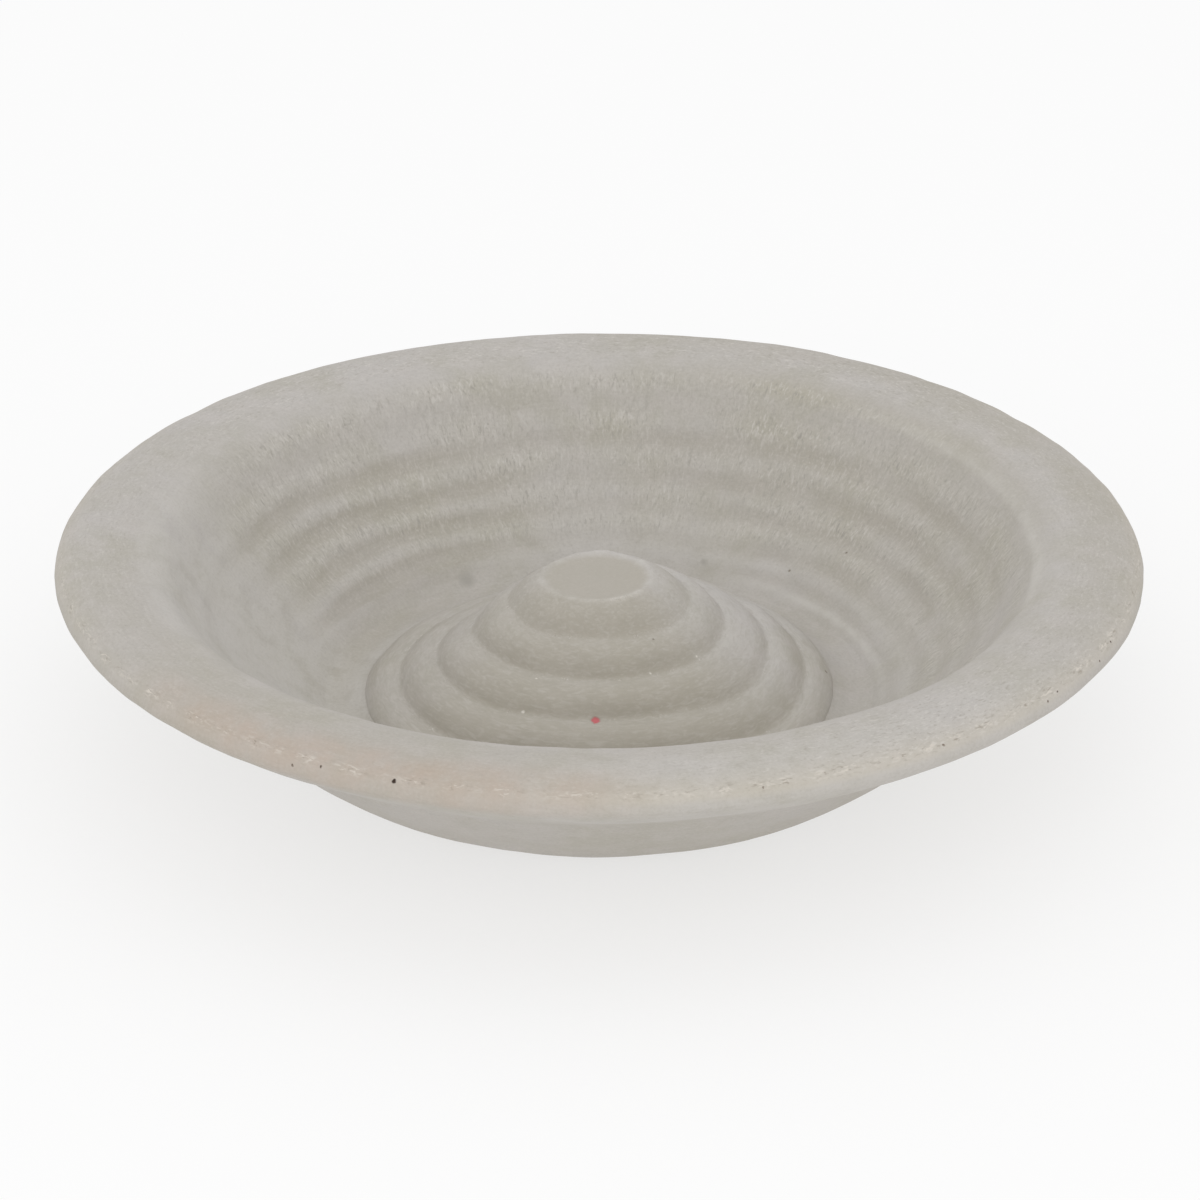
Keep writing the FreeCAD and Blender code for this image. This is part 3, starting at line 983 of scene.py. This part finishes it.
def grey_slip_over_terracotta(pieces):
    """Low-fired red clay, brushed with a thin wash of grey slip and fired matt.

    The eye sees soft grey blotches, short finger strokes up the wall, flecks on the lip, pale edges on the
    steps, tan where the wash is thin, and pink clay along the worn outer edge. Shade is painted into the
    grooves and step faces, and light onto the step edges, the front of the outer edge and some shaded
    hollows.
    """
    material = bpy.data.materials.new("grey_slip_over_terracotta")
    material.use_nodes = True
    tree = material.node_tree
    shader = tree.nodes["Principled BSDF"]
    spot = add_node(tree, "ShaderNodeTexCoord").outputs["Object"]
    axes = add_node(tree, "ShaderNodeSeparateXYZ", {0: spot}).outputs
    flat = add_node(tree, "ShaderNodeCombineXYZ", {0: axes["X"], 1: axes["Y"]}).outputs[0]
    radius = add_node(tree, "ShaderNodeVectorMath", {0: flat}, operation="LENGTH").outputs["Value"]
    heading = add_node(tree, "ShaderNodeVectorMath", {0: flat}, operation="NORMALIZE").outputs[0]
    marks = {}
    for name in plain_slip:
        marks[name] = add_node(tree, "ShaderNodeAttribute", attribute_name=name).outputs["Fac"]
    grains = {}
    for name, size, detail in (
        ("blotch", 34 * MM, 3),
        ("wear", 12 * MM, 4),
        ("cloud", 9 * MM, 4),
        ("grit", 0.9 * MM, 3),
    ):
        sockets = {"Vector": spot, "Scale": 1 / size, "Detail": detail, "Roughness": 0.62}
        grains[name] = add_node(tree, "ShaderNodeTexNoise", sockets).outputs[0]

    def brushed(length_round, width):
        """Noise drawn out round the dish where the length is more than the width, else up its sides."""
        sockets = {0: heading, "Scale": rim_radius / length_round}
        turn = add_node(tree, "ShaderNodeVectorMath", sockets, operation="SCALE")
        sockets = {0: radius, 1: 1 / width}
        out = add_node(tree, "ShaderNodeMath", sockets, operation="MULTIPLY").outputs[0]
        sockets = {0: axes["Z"], 1: 1 / width}
        up = add_node(tree, "ShaderNodeMath", sockets, operation="MULTIPLY").outputs[0]
        lift = add_node(tree, "ShaderNodeCombineXYZ", {2: out}).outputs[0]
        where = add_node(tree, "ShaderNodeVectorMath", {0: turn.outputs[0], 1: lift}, operation="ADD")
        sockets = {"Vector": where.outputs[0], "W": up, "Scale": 1.0, "Detail": 2.5, "Distortion": 0.9}
        return add_node(tree, "ShaderNodeTexNoise", sockets, noise_dimensions="4D").outputs[0]

    streaks = brushed(11 * MM, 1.0 * MM)
    strokes = brushed(1.2 * MM, 2.6 * MM)
    flakes = brushed(2.2 * MM, 0.8 * MM)

    # Washes of colour, the first at the bottom: each is laid where its pattern goes from low to high,
    # as strongly as its share says
    colour = linear("BBB7B3")
    for pattern, low, high, share, code in (
        (grains["blotch"], 0.38, 0.62, 0.85, "B3AFA6"),
        (grains["cloud"], 0.44, 0.66, 0.6, "C0BBB7"),
        (marks["thin_slip"], 0.0, 1.0, 0.75, "AAA497"),
        # Painted shade: ring grooves, step faces and one ring band on the wall
        (marks["painted_shade"], 0.0, 1.0, 0.4, "9D9688"),
        # Pooled pale slip, and painted light on the step noses and in some shaded hollows
        (grains["cloud"], 0.3, 0.5, marks["pooled_slip_and_painted_light"], "C5C2BC"),
        (streaks, 0.5, 0.72, marks["brushed"], "CAC7C1"),
        (streaks, 0.5, 0.3, marks["brushed"], "A29D91"),
        (marks["hatched"], 0.0, 1.0, 0.2, "B7B39B"),
        (strokes, 0.54, 0.66, marks["hatched"], "C9C5BF"),
        (strokes, 0.45, 0.32, marks["hatched"], "A09C95"),
        (grains["grit"], 0.52, 0.75, marks["gritty"], "D0CCC6"),
        (grains["grit"], 0.48, 0.25, marks["gritty"], "979186"),
        # Pale outer edge, partly painted light at the front
        (marks["pale_edge_and_front_light"], 0.0, 1.0, 1.0, "C5BCAA"),
        (grains["wear"], 0.15, 0.75, marks["worn_edge"], "B9A493"),
        (grains["cloud"], 0.25, 0.5, marks["rubbed"], "CDCAC4"),
        (flakes, 0.57, 0.66, marks["flecked"], "D0CCC6"),
        (flakes, 0.42, 0.32, marks["flecked"], "9C968C"),
        (flakes, 0.53, 0.6, marks["flaking"], "D3CCC2"),
        (flakes, 0.42, 0.34, marks["flaking"], "9C9286"),
    ):
        sockets = {"Value": pattern, "From Min": low, "From Max": high, "To Max": share}
        cover = add_node(tree, "ShaderNodeMapRange", sockets).outputs[0]
        sockets = {0: cover, mix_under: colour, mix_over: linear(code)}
        colour = add_node(tree, "ShaderNodeMix", sockets, data_type="RGBA").outputs[mix_result]

    colour, relief = flawed(tree, spot, colour, pieces)
    tree.links.new(colour, shader.inputs["Base Color"])

    # Relief that is too fine for the mesh
    for pattern, share in (
        (grains["grit"], marks["gritty"]),
        (streaks, marks["brushed"]),
        (strokes, marks["hatched"]),
        (flakes, marks["flaking"]),
    ):
        sockets = {0: pattern, 1: share, 2: relief}
        relief = add_node(tree, "ShaderNodeMath", sockets, operation="MULTIPLY_ADD").outputs[0]
    sockets = {"Height": relief, "Distance": relief_height, "Strength": 0.8}
    tree.links.new(add_node(tree, "ShaderNodeBump", sockets).outputs[0], shader.inputs["Normal"])
    sockets = {"Value": grains["grit"], "From Min": 0.3, "From Max": 0.7, "To Min": 0.82, "To Max": 0.96}
    tree.links.new(add_node(tree, "ShaderNodeMapRange", sockets).outputs[0], shader.inputs["Roughness"])
    shader.inputs["IOR"].default_value = 1.45
    shader.inputs["Specular IOR Level"].default_value = 0.3
    return material


# Levels of light, where 1 shows a colour as it is written
paper_glow = 0.6
tent_light = 0.93


def white_paper():
    """Matt white paper on a light table. It glows a little, so light also reaches under the rim."""
    material = bpy.data.materials.new("white_paper")
    material.use_nodes = True
    tree = material.node_tree
    shader = tree.nodes["Principled BSDF"]
    shader.inputs["Base Color"].default_value = linear("FAFAFA")
    shader.inputs["Roughness"].default_value = 1.0
    shader.inputs["Specular IOR Level"].default_value = 0.0
    sockets = {"Color": linear("FFFFFF"), "Strength": 1.0}
    white = add_node(tree, "ShaderNodeEmission", sockets).outputs[0]
    sockets = {0: paper_glow, 1: shader.outputs[0], 2: white}
    mixed = add_node(tree, "ShaderNodeMixShader", sockets).outputs[0]
    tree.links.new(mixed, tree.nodes["Material Output"].inputs["Surface"])
    return material


def light_tent():
    """An even white tent all round. The camera, reflections and clear surfaces see it pure white."""
    world = bpy.data.worlds.new("light_tent")
    world.use_nodes = True
    tree = world.node_tree
    rays = add_node(tree, "ShaderNodeLightPath").outputs
    seen = rays["Is Camera Ray"]
    for name in ("Is Glossy Ray", "Is Transmission Ray"):
        sockets = {0: seen, 1: rays[name]}
        seen = add_node(tree, "ShaderNodeMath", sockets, operation="MAXIMUM").outputs[0]
    sockets = {"Value": seen, "To Min": tent_light, "To Max": 1.0}
    strength = add_node(tree, "ShaderNodeMapRange", sockets).outputs[0]
    dome = tree.nodes["Background"]
    dome.inputs["Color"].default_value = linear("FFFFFF")
    tree.links.new(strength, dome.inputs["Strength"])
    return world


# The pieces, each with its marks and its clay, in the place of its node
sharp_edge_angle = math.radians(60)
pieces = {
    "rim_collar": rolled_rim(),
    "bowl_wall": ringed_wall(),
    "floor_ring": trough_floor(),
    "centre_mound": stepped_mound(),
    "foot_ring": turned_foot(),
}
for piece in pieces.values():
    hand_thrown(piece)
    dented(piece)
    bpy.ops.object.shade_smooth_by_angle(angle=sharp_edge_angle)
clay = grey_slip_over_terracotta(pieces)
for node, piece in pieces.items():
    piece.data.materials.append(clay)
    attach(piece, "root")
    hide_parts(node)

# Stage: white paper in a light tent, with a soft lamp over the camera
deselect_all()
paper_width = 8
bpy.ops.mesh.primitive_plane_add(size=paper_width)
paper = bpy.context.object
paper.name = "paper"
paper.data.materials.append(white_paper())
bpy.context.scene.world = light_tent()
lamp_place = Vector((-0.25, -1.65, 1.15))
lamp_width = 1.4
lamp_watts = 4.5
bpy.ops.object.light_add(type="AREA", location=lamp_place)
lamp = bpy.context.object
lamp.rotation_euler = (-lamp_place).to_track_quat("-Z", "Y").to_euler()
lamp.data.shape = "DISK"
lamp.data.size = lamp_width
lamp.data.energy = lamp_watts

# Camera at the photograph's angle
view_target = Vector((0.25 * MM, 0, 41 * MM))
view_elevation = math.radians(26)
view_distance = 1.28
lens_length = 129.15
film_width = 36
bpy.ops.object.camera_add()
camera = bpy.context.object
away = Vector((0, -math.cos(view_elevation), math.sin(view_elevation)))
camera.location = view_target + away * view_distance
camera.rotation_euler = (-away).to_track_quat("-Z", "Y").to_euler()
camera.data.lens = lens_length
camera.data.sensor_width = film_width
bpy.context.scene.camera = camera
bpy.context.scene.view_settings.view_transform = "Standard"
